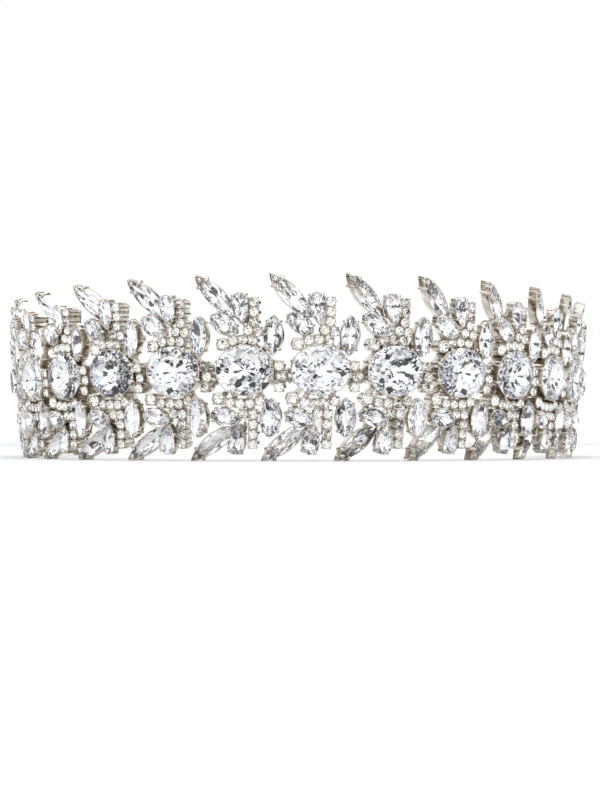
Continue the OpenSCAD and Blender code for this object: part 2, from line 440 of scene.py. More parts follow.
@dataclass(frozen=True)
class Foil:
    """The foiled facets under a stone. The foil is a mirror that reflects the studio, and each facet's own
    tone paints its sparkle on top: painted dark reflections, painted highlights and faint painted colour
    glints.
    """

    name: str
    # The tones are painted light: the dark facets are painted dark reflections, the grey, pale and bright
    # ones painted paler reflections and highlights, and the cool and warm ones painted colour glints.
    dark: Colour
    grey: Colour
    pale: Colour
    bright: Colour
    cool_glint: Colour
    warm: Colour

    TONE = "facet_sparkle_tone"
    GREY_FROM = 0.06
    PALE_FROM = 0.18
    BRIGHT_FROM = 0.42
    COOL_GLINT_FROM = 0.76
    WARM_GLINT_FROM = 0.92
    ROUGHNESS = 0.01

    def material(self) -> bpy.types.Material:
        """Builds the mirror-like material whose tone changes from facet to facet, painting the facets' dark
        reflections, highlights and colour glints.

        Returns:
            The material.
        """
        made = bpy.data.materials.new(self.name)
        shader = Shader(made)
        tone = shader.add("ShaderNodeAttribute", {"attribute_name": self.TONE}).out("Fac")
        # Each facet's drawn tone picks its painted tone from this ramp, from painted dark reflections
        # through painted highlights to painted colour glints.
        colour = shader.ramp(tone, [
            (0.0, self.dark), (self.GREY_FROM, self.grey), (self.PALE_FROM, self.pale),
            (self.BRIGHT_FROM, self.bright), (self.COOL_GLINT_FROM, self.cool_glint), (self.WARM_GLINT_FROM, self.warm)],
            "CONSTANT")
        shader.surface({
            "Base Color": colour,
            "Metallic": 1.0,
            "Roughness": self.ROUGHNESS,
        })
        return made


class Shape(Enum):
    """The outlines that the stones are cut to."""

    OVAL = "oval"
    NAVETTE = "navette"
    PEAR = "pear"


class Part(Enum):
    """The parts of a cut stone, with the way that their facets lean: up, sideways or down."""

    CROWN = 1
    GIRDLE = 0
    PAVILION = -1


@dataclass(frozen=True)
class Outline:
    """A stone's outline, its outer end towards +X."""

    shape: Shape
    length: float
    width: float

    TOUCH_STEP = 0.01

    @property
    def half_length(self) -> float:
        """Half of the length."""
        return self.length / 2

    @property
    def half_width(self) -> float:
        """Half of the width."""
        return self.width / 2

    @property
    def tail(self) -> float:
        """Length of the pointed part that one arc bounds on each side."""
        return self.half_length if self.shape is Shape.NAVETTE else self.length - self.half_width

    @property
    def arc(self) -> float:
        """Radius of the arcs that bound the pointed part."""
        return (self.tail ** 2 + self.half_width ** 2) / (2 * self.half_width)

    @property
    def middle(self) -> float:
        """Place along X of the point that the facets close in on."""
        return self.half_width / 2 if self.shape is Shape.PEAR else 0.0

    @property
    def spans(self) -> list[tuple[float, float]]:
        """The rounded stretches of the outline.

        Returns:
            The middle and half of the turn of each stretch.
        """
        if self.shape is Shape.OVAL:
            return [(0.0, 180.0)]
        lean = math.degrees(math.asin(self.tail / self.arc))
        if self.shape is Shape.NAVETTE:
            return [(90.0, lean), (270.0, lean)]
        return [(0.0, 90.0 + lean)]

    def reach(self, turn: float) -> float:
        """Distance from the outline's middle to the line that touches it.

        Args:
            turn: The way that the line faces.

        Returns:
            The distance in millimetres.
        """
        x, y = math.cos(math.radians(turn)), abs(math.sin(math.radians(turn)))
        a, b = self.half_length, self.half_width
        if self.shape is Shape.OVAL:
            return math.hypot(a * x, b * y)
        facing_tail = y > math.sqrt(1 - (self.tail / self.arc) ** 2)
        if self.shape is Shape.NAVETTE:
            return self.arc - (self.arc - b) * y if facing_tail else a * abs(x)
        if x >= 0:
            return (a - b) * x + b
        return (a - b) * x + self.arc - (self.arc - b) * y if facing_tail else -a * x

    def touch(self, turn: float) -> tuple[float, float]:
        """Point of the outline that faces a way.

        Args:
            turn: The way that it faces.

        Returns:
            The point's place along X and Y in millimetres.
        """
        step = self.TOUCH_STEP
        radians = math.radians(turn)
        along = (self.reach(turn + step) - self.reach(turn - step)) / (2 * math.radians(step))
        reach = self.reach(turn)
        return (reach * math.cos(radians) - along * math.sin(radians),
                reach * math.sin(radians) + along * math.cos(radians))

    def tips(self) -> list[float]:
        """Turns that face the outline's points, on the point and a little to each side.

        Returns:
            The turns, none for an oval.
        """
        if self.shape is Shape.OVAL:
            return []
        swing = (90 - self.spans[0][1]) / 2 if self.shape is Shape.NAVETTE else (180 - self.spans[0][1]) / 2
        points = (0.0, 180.0) if self.shape is Shape.NAVETTE else (180.0,)
        return [point + step * swing for point in points for step in (-1, 0, 1)]

    def turns(self, count: int, shares: Sequence[float]) -> list[float]:
        """Turns of facets that share out each stretch of the outline.

        Args:
            count: The number of equal parts of a stretch.
            shares: Where in each part a facet faces, from 0 to 1.

        Returns:
            The turns.
        """
        closed = self.shape is Shape.OVAL
        places = [(part + share) / count for part in range(count) for share in shares]
        return [centre + half * (2 * place - 1)
                for centre, half in self.spans for place in places if closed or 0 < place < 1]


@dataclass(frozen=True)
class Cut:
    """How a stone is cut: heights in millimetres, and shares of its outline.

    The rows, if there are any, are where the rows of a many-rowed pavilion meet, each as its share of the
    outline and of the pavilion's depth.
    """

    sides: int
    mains: int
    table: float
    crown: float
    girdle: float
    pavilion: float
    culet: float
    full: bool
    rows: tuple[tuple[float, float], ...] = ()

    STAR_FALL = 0.6
    UPPER_HALF_FALL = 1.14
    LOWER_HALF_FALL = 1.03
    BREAK_DEPTH = 0.5
    BREAK_FALL = 0.8
    ENDS = (0.0,)
    MIDDLES = (0.5,)
    QUARTERS = (0.25, 0.75)
    FOILED_UNDER = -0.02

    def model(self, name: str, outline: Outline) -> bpy.types.Object:
        """Cuts a stone from a block, facet by facet, its girdle's upper edge at height 0.

        Args:
            name: The stone's name.
            outline: The outline that it is cut to.

        Returns:
            The stone in its own frame, in metres, its foiled facets with the second material number.
        """
        low = -self.girdle - self.pavilion
        size = (outline.length * MM, outline.width * MM, (self.crown - low) * MM)
        bpy.ops.mesh.primitive_cube_add(size=1, location=(0, 0, (self.crown + low) / 2 * MM), scale=size)
        stone = bpy.context.object
        stone.name = name
        bpy.ops.object.transform_apply(location=True, rotation=False, scale=True)
        with Bench.edit(stone):
            for turn in outline.turns(self.sides, self.MIDDLES):
                self._facet(outline, Part.GIRDLE, turn, 0, 1, 0)
            self._crown(outline)
            self._pavilion(outline)
        for face in stone.data.polygons:
            face.material_index = 1 if face.normal.z < self.FOILED_UNDER else 0
        return stone

    def _facet(self, outline: Outline, part: Part, turn: float, level: float, reach: float,
               fall: float) -> None:
        """Cuts one facet.

        Args:
            outline: The stone's outline.
            part: The part of the stone that it is on.
            turn: The way it faces.
            level: Height at which its place is known.
            reach: Share of the outline that it passes there.
            fall: Drop from the middle to the full outline.
        """
        x, y = math.cos(math.radians(turn)), math.sin(math.radians(turn))
        out = outline.reach(turn) - outline.middle * x
        point = ((outline.middle + reach * out * x) * MM, reach * out * y * MM, level * MM)
        normal = (x, y, 0) if part is Part.GIRDLE else (fall * x, fall * y, out * part.value)
        Bench.shear_off(point, Vector(normal).normalized())

    def _crown(self, outline: Outline) -> None:
        """Cuts the main facets over the girdle, and on a full cut the stars and the upper halves.

        Args:
            outline: The stone's outline.
        """
        fall = self.crown / (1 - self.table)
        for turn in outline.turns(self.mains, self.MIDDLES):
            self._facet(outline, Part.CROWN, turn, self.crown, self.table, fall)
        if self.full:
            edge = self.table * math.cos(math.pi / self.mains)
            for turn in outline.turns(self.mains, self.ENDS):
                self._facet(outline, Part.CROWN, turn, self.crown, edge, fall * self.STAR_FALL)
            for turn in outline.turns(self.mains, self.QUARTERS):
                self._facet(outline, Part.CROWN, turn, 0, 1, fall * self.UPPER_HALF_FALL)

    def _pavilion(self, outline: Outline) -> None:
        """Cuts the facets under the girdle, in rows if the cut has them.

        Args:
            outline: The stone's outline.
        """
        level = -self.girdle
        if self.rows:
            for number, (upper, lower) in enumerate(zip(self.rows, self.rows[1:])):
                fall = (lower[1] - upper[1]) * self.pavilion / (upper[0] - lower[0])
                deep = level - upper[1] * self.pavilion
                for turn in outline.turns(self.mains, self.MIDDLES if number % 2 else self.ENDS):
                    self._facet(outline, Part.PAVILION, turn, deep, upper[0], fall)
            return
        fall = self.pavilion / (1 - self.culet)
        for turn in outline.turns(self.mains, self.MIDDLES):
            self._facet(outline, Part.PAVILION, turn, level, 1, fall)
        if self.full:
            for turn in outline.turns(self.mains, self.QUARTERS):
                self._facet(outline, Part.PAVILION, turn, level, 1, fall * self.LOWER_HALF_FALL)
            deep = level - self.BREAK_DEPTH * self.pavilion
            reach = 1 - self.BREAK_DEPTH * (1 - self.culet)
            for turn in outline.turns(self.mains, self.ENDS):
                self._facet(outline, Part.PAVILION, turn, deep, reach, fall * self.BREAK_FALL)

    @staticmethod
    def draw_sparkle_tones(stones: bpy.types.Object, seed: int) -> None:
        """Gives each facet of one or more finished stones a random tone, by which the foil paints the
        facet's sparkle: a painted dark reflection, a painted highlight or a painted colour glint.

        Args:
            stones: The stones, as one object.
            seed: The start of the random draws.
        """
        dice = random.Random(seed)
        tones = stones.data.attributes.new(Foil.TONE, "FLOAT", "FACE")
        for entry in tones.data:
            entry.value = dice.random()


@dataclass(frozen=True)
class Ring:
    """The line that the clusters follow, and its place in the frame."""

    front_radius: float = 83.0
    front_turn: float = 43.5
    side_radius: float = 78.0
    side_turn: float = 38.5
    end_radius: float = 121.0
    stone_height: float = 22.26
    back_shift: float = 64.84
    lean: float = 5.5
    cluster_count: int = 18
    cluster_pitch: float = 17.7
    cluster_shift: float = 0.6

    @property
    def front_length(self) -> float:
        """Length of the front arc on one side."""
        return math.radians(self.front_turn) * self.front_radius

    @property
    def side_length(self) -> float:
        """Length of the side arc."""
        return math.radians(self.side_turn) * self.side_radius

    @property
    def clusters(self) -> range:
        """The clusters' numbers."""
        return range(1, self.cluster_count + 1)

    def turn(self, along: float) -> float:
        """Turn of the ring on the right side.

        Args:
            along: The length from the front's middle.

        Returns:
            The turn, 0 at the front's middle.
        """
        past_front = along - self.front_length
        past_side = past_front - self.side_length
        if past_front < 0:
            return math.degrees(along / self.front_radius)
        if past_side < 0:
            return self.front_turn + math.degrees(past_front / self.side_radius)
        return self.front_turn + self.side_turn + math.degrees(past_side / self.end_radius)

    def _out(self, turn: float) -> Vector:
        """Direction away from the head."""
        return Vector((math.sin(math.radians(turn)), -math.cos(math.radians(turn)), 0))

    def place(self, along: float) -> Vector:
        """Place of the ring on the right side, before it is moved into the frame.

        Args:
            along: The length from the front's middle.

        Returns:
            The place in millimetres.
        """
        centre = Vector((0, self.front_radius, 0))
        radius = self.front_radius
        if along > self.front_length:
            centre += (self.front_radius - self.side_radius) * self._out(self.front_turn)
            radius = self.side_radius
        if along > self.front_length + self.side_length:
            centre += (self.side_radius - self.end_radius) * self._out(self.front_turn + self.side_turn)
            radius = self.end_radius
        return centre + radius * self._out(self.turn(along))

    def frame(self, along: float) -> Matrix:
        """The ring's own frame on either side: X along it, Y back towards the head and Z up.

        Args:
            along: The length from the front's middle, less than 0 on the left.

        Returns:
            The frame, in metres.
        """
        side = -1 if along < 0 else 1
        spot = self.place(abs(along))
        spot = Vector((side * spot.x, spot.y - self.back_shift, self.stone_height)) * MM
        return Matrix.Translation(spot) @ Matrix.Rotation(math.radians(side * self.turn(abs(along))), 4, "Z")

    def along(self, number: int) -> float:
        """Length along the ring of a cluster, the first at the left end."""
        return (number - (self.cluster_count + 1) / 2) * self.cluster_pitch + self.cluster_shift

    def cluster(self, number: int) -> Matrix:
        """A cluster's frame: X along the band, Y up, Z away from the head, in metres."""
        return self.frame(self.along(number)) @ Matrix.Rotation(math.radians(90 + self.lean), 4, "X")


class TipStep(NamedTuple):
    """A step of a claw's tip: rise as a share of the tip, shift as a share of the bend, and size."""

    rise: float
    shift: float
    size: float


@dataclass(frozen=True)
class Claw:
    """A claw that stands at a stone's edge and bends over it, its foot at the origin and the stone at -X."""

    width: float
    height: float
    bend: float
    sides: int

    TIP_SHARE = 0.45
    TIP_STEPS = (TipStep(1.0, 0.45, 0.92), TipStep(0.75, 0.4, 0.62), TipStep(0.25, 0.15, 0.4))
    SMOOTH_UNDER = 70

    def model(self, name: str) -> bpy.types.Object:
        """Models the claw from a short rod.

        Args:
            name: The claw's name.

        Returns:
            The claw, in metres.
        """
        tip = self.width * self.TIP_SHARE
        shaft = self.height - 2 * tip
        bpy.ops.mesh.primitive_cylinder_add(vertices=self.sides, radius=self.width / 2 * MM,
                                            depth=shaft * MM, location=(0, 0, shaft / 2 * MM))
        claw = bpy.context.object
        claw.name = name
        bpy.ops.object.transform_apply(location=True, rotation=False, scale=False)
        with Bench.edit(claw):
            Bench.pick_top(claw)
            for step in self.TIP_STEPS:
                move = (-self.bend * step.shift * MM, 0, tip * step.rise * MM)
                bpy.ops.mesh.extrude_region_move(TRANSFORM_OT_translate={"value": move})
                bpy.ops.transform.resize(value=(step.size, step.size, 1))
        Bench.smooth(claw, self.SMOOTH_UNDER)
        return claw


@dataclass(frozen=True)
class Rim:
    """The rounded lip of a cup, its top at height 0, with the stone's outline inside it."""

    wall: float
    depth: float
    bevel: float
    steps: int

    CLEARANCE = 0.02
    FLOOR = 0.2
    TIP_TRIM = 0.22
    BLOCK_WALLS = 3
    TOP_ABOVE = -0.01
    WALL_UNDER = 0.5
    FINE_FROM = 12
    SMOOTH_UNDER = 60

    def model(self, name: str, outline: Outline) -> bpy.types.Object:
        """Models the lip from a block that is cut to the outline and sunk inside.

        Args:
            name: The lip's name.
            outline: The outline of the stone that it holds.

        Returns:
            The lip, in metres.
        """
        spare = self.BLOCK_WALLS * self.wall
        size = ((outline.length + spare) * MM, (outline.width + spare) * MM, self.depth * MM)
        bpy.ops.mesh.primitive_cube_add(size=1, location=(0, 0, -self.depth / 2 * MM), scale=size)
        rim = bpy.context.object
        rim.name = name
        bpy.ops.object.transform_apply(location=True, rotation=False, scale=True)
        with Bench.edit(rim):
            walls = [(turn, self.wall) for turn in outline.turns(self.steps, Cut.MIDDLES)]
            walls += [(turn, self.wall - self.TIP_TRIM) for turn in outline.tips()]
            for turn, wall in walls:
                way = (math.cos(math.radians(turn)), math.sin(math.radians(turn)), 0)
                reach = (outline.reach(turn) + wall) * MM
                Bench.shear_off([reach * part for part in way], way)
            Bench.pick_top(rim)
            bpy.ops.mesh.inset(thickness=(self.wall - self.CLEARANCE) * MM)
            sink = (0, 0, (self.FLOOR - self.depth) * MM)
            bpy.ops.mesh.extrude_region_move(TRANSFORM_OT_translate={"value": sink})
            self._pick_top_edges(rim)
            segments = 2 if self.steps >= self.FINE_FROM else 1
            bpy.ops.mesh.bevel(offset=self.bevel * MM, segments=segments, affect="EDGES")
        Bench.smooth(rim, self.SMOOTH_UNDER)
        return rim

    def _pick_top_edges(self, rim: bpy.types.Object) -> None:
        """Selects the edges between the lip's top and its walls.

        Args:
            rim: The lip in edit mode.
        """
        bpy.ops.mesh.select_mode(type="EDGE")
        mesh = bmesh.from_edit_mesh(rim.data)
        for edge in mesh.edges:
            on_top = all(vertex.co.z > self.TOP_ABOVE * MM for vertex in edge.verts)
            on_wall = any(abs(face.normal.z) < self.WALL_UNDER for face in edge.link_faces)
            edge.select_set(on_top and on_wall)
        bmesh.update_edit_mesh(rim.data)


@dataclass(frozen=True)
class Seat:
    """Where a stone sits in a cluster.

    It has the place of the stone's middle, the turn of its outer end, the height of its girdle over its
    base, and the tilt of its tip.
    """

    across: float
    up: float
    turn: float
    level: float
    base: float = 0.0
    tilt: float = 0.0

    def frame(self) -> Matrix:
        """The stone's frame in the cluster's.

        Returns:
            The frame, in metres.
        """
        spot = Matrix.Translation(Vector((self.across, self.up, self.base)) * MM)
        turned = spot @ Matrix.Rotation(math.radians(self.turn), 4, "Z")
        tilted = turned @ Matrix.Rotation(math.radians(-self.tilt), 4, "Y")
        return tilted @ Matrix.Translation((0, 0, self.level * MM))


@dataclass(frozen=True)
class Kind:
    """One kind of stone: its outline and cut, its seats in a cluster, and the rim and claws that hold it."""

    name: str
    outline: Outline
    cut: Cut
    seats: tuple[Seat, ...]
    rim: Rim
    rim_top: float
    claw: Claw
    claw_turns: tuple[float, ...]
    claw_drop: float
    cap: Claw | None = None

    CLAW_STAND_OFF = 0.3
    CAP_STAND_OFF = -0.98

    def rim_frames(self) -> list[Matrix]:
        """Frames of all rims of this kind in one cluster, in metres."""
        return [seat.frame() @ Matrix.Translation((0, 0, self.rim_top * MM)) for seat in self.seats]

    def claw_frames(self) -> list[Matrix]:
        """Frames of all claws of this kind in one cluster, in metres."""
        return [self._foot(seat, turn, self.CLAW_STAND_OFF)
                for seat in self.seats for turn in self.claw_turns]

    def cap_frames(self) -> list[Matrix]:
        """Frames of the caps on the tips of this kind in one cluster, in metres."""
        return [self._foot(seat, 0.0, self.CAP_STAND_OFF) for seat in self.seats]

    def _foot(self, seat: Seat, turn: float, stand_off: float) -> Matrix:
        """Frame of a claw's foot.

        Args:
            seat: The stone's seat.
            turn: The way from the stone's middle to the claw.
            stand_off: The foot's distance out from the outline.

        Returns:
            The frame in the cluster's, in metres.
        """
        x, y = self.outline.touch(turn)
        out = Vector((math.cos(math.radians(turn)), math.sin(math.radians(turn)), 0))
        foot = Vector((x, y, -self.claw_drop)) + out * stand_off
        return seat.frame() @ Matrix.Translation(foot * MM) @ Matrix.Rotation(math.radians(turn), 4, "Z")


class Row(NamedTuple):
    """A stone's row in the plan of a cluster: its name, its place, its outer end's turn and its size."""

    name: str
    across: float
    up: float
    turn: float
    length: float
    width: float


@dataclass(frozen=True)
class StonePlan:
    """The stones of a cluster, each kind with its seats."""

    oval_length: float = 14.2
    oval_width: float = 12.2
    large_round: float = 3.0
    small_round: float = 2.3
    raised_girdle: float = 4.0
    round_girdle: float = 3.5
    long_girdle: float = 2.4
    long_base: float = -0.6
    tip_tilt: float = 12.0
    rim_shows: float = 0.1
    oval_claws: int = 8
    pointed_claw_share: float = 0.62
    pear_claw_turns: tuple[float, ...] = (-112.0, -45.0, 45.0, 112.0)
    round_claw_turns: tuple[float, ...] = (45.0, 135.0, 225.0, 315.0)

    OVAL_ROWS = ((1, 0), (0.8, 0.28), (0.6, 0.52), (0.4, 0.73), (0.2, 0.9), (0.06, 1))
    LONGS = (
        Row("upper_long_stones", across=-7.4, up=18.2, turn=134, length=14.7, width=4.4),
        Row("lower_long_stones", across=-8.6, up=-17.8, turn=218, length=14.6, width=4.3),
    )
    NAVETTES = (
        Row("upper_short_navettes", across=-5, up=11.2, turn=144, length=7.8, width=4.5),
        Row("upper_wide_navettes", across=7.1, up=8.4, turn=87, length=9.8, width=4.6),
        Row("lower_short_navettes", across=-5.1, up=-11.4, turn=166, length=7.7, width=4.4),
        Row("lower_wide_navettes", across=6.1, up=-11.5, turn=-93, length=9.8, width=5),
    )
    PEARS = (
        Row("upper_pear_stones", across=-0.8, up=14.9, turn=96, length=7.7, width=4.1),
        Row("lower_pear_stones", across=-2.2, up=-16.7, turn=-101, length=7.5, width=4.1),
    )
    LARGE_PLACES = ((-5.5, 6.3), (-6.8, -6.9))
    SMALL_PLACES = (
        (-2.9, 7.3), (-0.45, 7.5), (2, 7.3), (0.9, 9.8), (3.3, 9.4), (2.3, 11.8), (2.4, 14.2), (2.4, 16.6),
        (-3.9, -7.8), (-1.45, -8), (1, -8), (3.5, -7.4), (-0.65, -10.5), (1.8, -10.6),
        (1.7, -13.05), (1.6, -15.5), (1.5, -17.95), (8.3, 1.1), (8.9, -1.5), (8.3, -4.1),
    )
    SIDE_CLAW = Claw(width=0.75, height=2.65, bend=0.5, sides=8)

    def _outline(self, shape: Shape, length: float, width: float) -> Outline:
        """The outline of a stone from its solid's size, less what the cup's lip shows round it."""
        return Outline(shape, length - 2 * self.rim_shows, width - 2 * self.rim_shows)

    def _oval(self) -> Kind:
        """The main stone, with claws all round.

        Returns:
            The kind of stone.
        """
        return Kind(
            name="oval_stone",
            outline=self._outline(Shape.OVAL, self.oval_length, self.oval_width),
            cut=Cut(sides=32, mains=16, table=0.5, crown=1.95, girdle=0.2, pavilion=2.6, culet=0.06,
                    full=True, rows=self.OVAL_ROWS),
            seats=(Seat(0, 0, 0, self.raised_girdle),),
            rim=Rim(wall=0.22, depth=3.3, bevel=0.07, steps=36),
            rim_top=0.1,
            claw=Claw(width=0.85, height=4.4, bend=0.7, sides=8),
            claw_turns=tuple((number + 0.5) * 360 / self.oval_claws for number in range(self.oval_claws)),
            claw_drop=3.8,
        )

    def _pointed(self, row: Row) -> Kind:
        """A stone pointed at both ends, with four claws.

        Args:
            row: The stone's row in the plan.

        Returns:
            The kind of stone.
        """
        outline = self._outline(Shape.NAVETTE, row.length, row.width)
        lean = outline.spans[0][1] * self.pointed_claw_share
        return Kind(
            name=row.name,
            outline=outline,
            cut=Cut(sides=6, mains=4, table=0.52, crown=0.88, girdle=0.12, pavilion=1.45, culet=0.1,
                    full=True),
            seats=(Seat(row.across, row.up, row.turn, self.raised_girdle),),
            rim=Rim(wall=0.22, depth=2.3, bevel=0.07, steps=12),
            rim_top=0.1,
            claw=self.SIDE_CLAW,
            claw_turns=(90 - lean, 90 + lean, 270 - lean, 270 + lean),
            claw_drop=2.2,
        )

    def _long(self, row: Row) -> Kind:
        """A long pointed stone that leans out, with larger claws and a cap on its outer tip.

        Args:
            row: The stone's row in the plan.

        Returns:
            The kind of stone.
        """
        seat = Seat(row.across, row.up, row.turn, self.long_girdle, self.long_base, self.tip_tilt)
        return replace(
            self._pointed(row),
            seats=(seat,),
            rim_top=0.02,
            claw=Claw(width=0.95, height=2.75, bend=0.55, sides=8),
            claw_drop=2.36,
            cap=Claw(width=1.4, height=3.0, bend=0.7, sides=12),
        )

    def _pear(self, row: Row) -> Kind:
        """A stone round at its outer end, with four claws.

        Args:
            row: The stone's row in the plan.

        Returns:
            The kind of stone.
        """
        return Kind(
            name=row.name,
            outline=self._outline(Shape.PEAR, row.length, row.width),
            cut=Cut(sides=14, mains=8, table=0.52, crown=0.88, girdle=0.12, pavilion=1.45, culet=0.1,
                    full=True),
            seats=(Seat(row.across, row.up, row.turn, self.raised_girdle),),
            rim=Rim(wall=0.22, depth=2.3, bevel=0.07, steps=22),
            rim_top=0.1,
            claw=self.SIDE_CLAW,
            claw_turns=self.pear_claw_turns,
            claw_drop=2.2,
        )

    def _round(self, name: str, size: float, places: Sequence[tuple[float, float]], cut: Cut,
               steps: int) -> Kind:
        """Round stones of one size, with four claws each.

        Args:
            name: The name of the kind.
            size: The diameter of the solid stone.
            places: The stones' places across and up in a cluster.
            cut: Their cut.
            steps: The number of sides of their cups' lips.

        Returns:
            The kind of stone.
        """
        return Kind(
            name=name,
            outline=self._outline(Shape.OVAL, size, size),
            cut=cut,
            seats=tuple(Seat(across, up, 0.0, self.round_girdle) for across, up in places),
            rim=Rim(wall=0.14, depth=1.4, bevel=0.05, steps=steps),
            rim_top=-0.02,
            claw=Claw(width=0.45, height=1.9, bend=0.25, sides=6),
            claw_turns=self.round_claw_turns,
            claw_drop=1.5,
        )

    def kinds(self) -> list[Kind]:
        """Every kind of stone.

        Returns:
            The kinds, the main stone first.
        """
        round_cut = Cut(sides=16, mains=8, table=0.55, crown=0.68, girdle=0.1, pavilion=0.8, culet=0.1,
                        full=True)
        seed_cut = Cut(sides=8, mains=8, table=0.5, crown=0.62, girdle=0.08, pavilion=0.8, culet=0.15,
                       full=False)
        return [
            self._oval(),
            *(self._long(row) for row in self.LONGS),
            *(self._pointed(row) for row in self.NAVETTES),
            *(self._pear(row) for row in self.PEARS),
            self._round("round_stones", self.large_round, self.LARGE_PLACES, round_cut, steps=16),
            self._round("small_round_stones", self.small_round, self.SMALL_PLACES, seed_cut, steps=10),
        ]


@dataclass
class Finishes:
    """The finishes of the headpiece, built once and shared."""

    silver: Silver = Silver(
        name="setting_silver",
        bright=(0.82, 0.785, 0.73),
        warm=(0.54, 0.495, 0.44),
        roughness=0.1,
        wave_size=1.3,
        wave_depth=0.07,
    )
    wire: Silver = Silver(
        name="wire_silver",
        bright=(0.80, 0.765, 0.71),
        warm=(0.48, 0.435, 0.38),
        roughness=0.14,
        wave_size=0.5,
        wave_depth=0.02,
    )
    crystal: Crystal = Crystal(name="clear_crystal", clear=(1.0, 1.0, 1.0), tint=(0.98, 0.99, 1.0), ior=1.6)
    # The foils' facet tones paint the stones' sparkle: dark reflections, highlights and colour glints are
    # painted into the foil's colour, over the foil's real mirror reflection of the studio.
    foil: Foil = Foil(
        name="crystal_foil",
        dark=(0.15, 0.14, 0.15),
        grey=(0.76, 0.75, 0.78),
        pale=(0.95, 0.95, 0.96),
        bright=(0.99, 0.99, 0.99),
        cool_glint=(0.94, 0.97, 1.0),
        warm=(1.0, 0.98, 0.95),
    )
    oval_foil: Foil = Foil(
        name="oval_foil",
        dark=(0.05, 0.05, 0.05),
        grey=(0.62, 0.61, 0.64),
        pale=(0.91, 0.91, 0.925),
        bright=(0.98, 0.98, 0.98),
        cool_glint=(0.92, 0.96, 1.0),
        warm=(1.0, 0.97, 0.94),
    )
    warm_foil: Foil = Foil(
        name="warm_foil",
        dark=(0.1, 0.08, 0.07),
        grey=(0.85, 0.80, 0.73),
        pale=(0.97, 0.95, 0.92),
        bright=(1.0, 0.995, 0.985),
        cool_glint=(0.95, 0.96, 0.97),
        warm=(1.0, 0.95, 0.88),
    )
    made: dict[str, bpy.types.Material] = field(default_factory=dict)

    def give(self, finish: Silver | Crystal | Foil) -> bpy.types.Material:
        """The material of a finish, built on its first use.

        Args:
            finish: The finish.

        Returns:
            Its material.
        """
        if finish.name not in self.made:
            self.made[finish.name] = finish.material()
        return self.made[finish.name]

    def dress(self, piece: bpy.types.Object, *finishes: Silver | Crystal | Foil) -> None:
        """Gives a piece its materials, one for each of its material numbers.

        Args:
            piece: The piece.
            finishes: Its finishes in order.
        """
        if piece.data.materials:
            piece.data.materials.clear()
        for finish in finishes:
            piece.data.materials.append(self.give(finish))


@dataclass
class Clusters:
    """The clusters: their cut stones, their claws and the finish of their settings."""

    ring: Ring
    plan: StonePlan
    finishes: Finishes

    SINGLE = "oval_stone"
    REPLACED = {
        "upper_short_navettes": ("upper_navette_stones",),
        "upper_wide_navettes": ("upper_navette_stones",),
        "lower_short_navettes": ("lower_navette_stones",),
        "lower_wide_navettes": ("lower_navette_stones",),
        "small_round_stones": (),
    }
    SLOTS = {
        "oval_stone": "oval_crystal",
        "round_stones": "round_crystal",
        "small_round_stones": "round_crystal",
    }

    def build(self) -> None:
        """Builds and dresses every cluster."""
        for seed, kind in enumerate(self.plan.kinds(), start=1):
            self._stones(kind, seed)
        self._claws()
        for number in self.ring.clusters:
            setting = bpy.data.objects[f"setting_{number}"]
            self.finishes.dress(setting, self.finishes.silver)
            LOG.info("%s: %d faces", setting.name, len(setting.data.polygons))

    def _foil(self, kind: Kind) -> Foil:
        """The foil under a kind of stone."""
        foils = {"oval_crystal": self.finishes.oval_foil, "round_crystal": self.finishes.warm_foil}
        return foils.get(self.SLOTS.get(kind.name), self.finishes.foil)

    def _stones(self, kind: Kind, seed: int) -> None:
        """Cuts a kind's stone and sets a copy in each of its seats.

        The main stones are pieces of their own, with the tones of their painted sparkle drawn from their
        cluster's number. The stones of any other kind are one piece.

        Args:
            kind: The kind of stone.
            seed: The start of the random draws of a kind that is one piece.
        """
        model = kind.cut.model(f"{kind.name}_model", kind.outline)
        self.finishes.dress(model, self.finishes.crystal, self._foil(kind))
        placed = []
        for number in self.ring.clusters:
            frames = [self.ring.cluster(number) @ seat.frame() for seat in kind.seats]
            copies = [Bench.copy(model, frame) for frame in frames]
            if kind.name == self.SINGLE:
                stone = Bench.join(f"cut_oval_{number}", copies)
                Cut.draw_sparkle_tones(stone, number)
                self._finish_piece(stone, (f"oval_stone_{number}",))
            else:
                placed += copies
        if placed:
            whole = Bench.join(f"cut_{kind.name}", placed)
            Cut.draw_sparkle_tones(whole, seed)
            self._finish_piece(whole, self.REPLACED.get(kind.name, (kind.name,)))
        Bench.discard(model)

    def _finish_piece(self, piece: bpy.types.Object, replaced: Sequence[str]) -> None:
        """Rides a piece on the frame and hides the solids that it replaces.

        Args:
            piece: The piece.
            replaced: The solids that it replaces, if any.
        """
        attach(piece, "root")
        if replaced:
            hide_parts(*replaced)
        LOG.info("%s: %d faces", piece.name, len(piece.data.polygons))

    def _claws(self) -> None:
        """Models the claws, caps and lips of one cluster and sets a copy on each cluster."""
        claws = []
        for kind in self.plan.kinds():
            model = kind.claw.model("claw_model")
            rim = kind.rim.model("rim_model", kind.outline)
            claws += [Bench.copy(model, frame) for frame in kind.claw_frames()]
            claws += [Bench.copy(rim, frame) for frame in kind.rim_frames()]
            Bench.discard(model, rim)
            if kind.cap:
                cap = kind.cap.model("cap_model")
                claws += [Bench.copy(cap, frame) for frame in kind.cap_frames()]
                Bench.discard(cap)
        cluster = Bench.join("claws_model", claws)
        self.finishes.dress(cluster, self.finishes.silver)
        for number in self.ring.clusters:
            piece = Bench.copy(cluster, self.ring.cluster(number), f"claws_{number}")
            piece.data.name = piece.name
            self._finish_piece(piece, ())
        Bench.discard(cluster)


